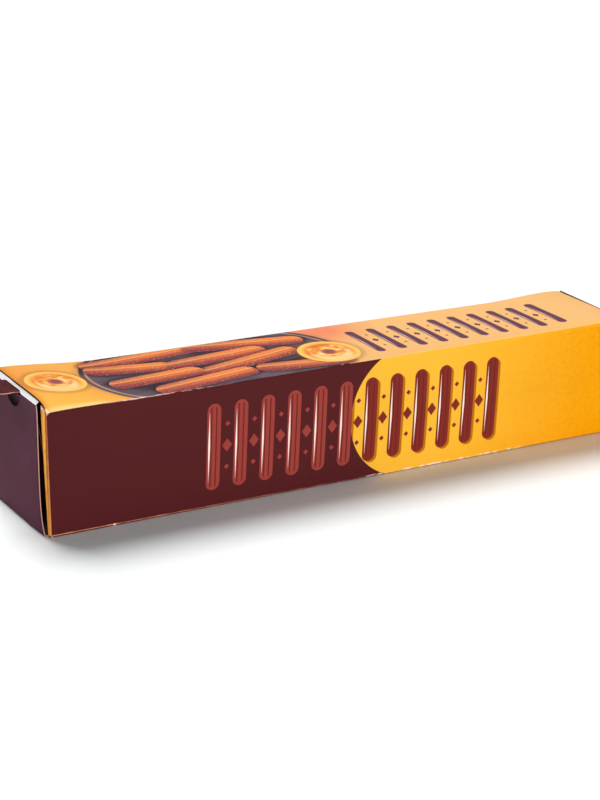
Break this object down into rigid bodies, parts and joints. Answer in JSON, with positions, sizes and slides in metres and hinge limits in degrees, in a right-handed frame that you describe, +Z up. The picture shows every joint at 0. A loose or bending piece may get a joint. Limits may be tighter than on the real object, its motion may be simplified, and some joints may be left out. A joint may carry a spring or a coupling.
{
  "type": "shut folding carton for fried pastry sticks",
  "caption": "Long shut board carton with a tuck closure at each end, one standing loose with a half-round thumb tab over its hole.",
  "frame": {"origin": "middle of the bounding box, on the bottom panel that the carton rests on", "axes": "+X along the carton towards the closure that is pushed home, -Y out of the front panel, +Z up"},
  "size_m": [0.2736, 0.046, 0.0509],
  "materials": {
    "printed_board": "coated board, printed in orange-yellow and dark maroon, with a satin varnish"
  },
  "bodies": {
    "root": {"carton": "printed_board"}
  },
  "joints": []
}
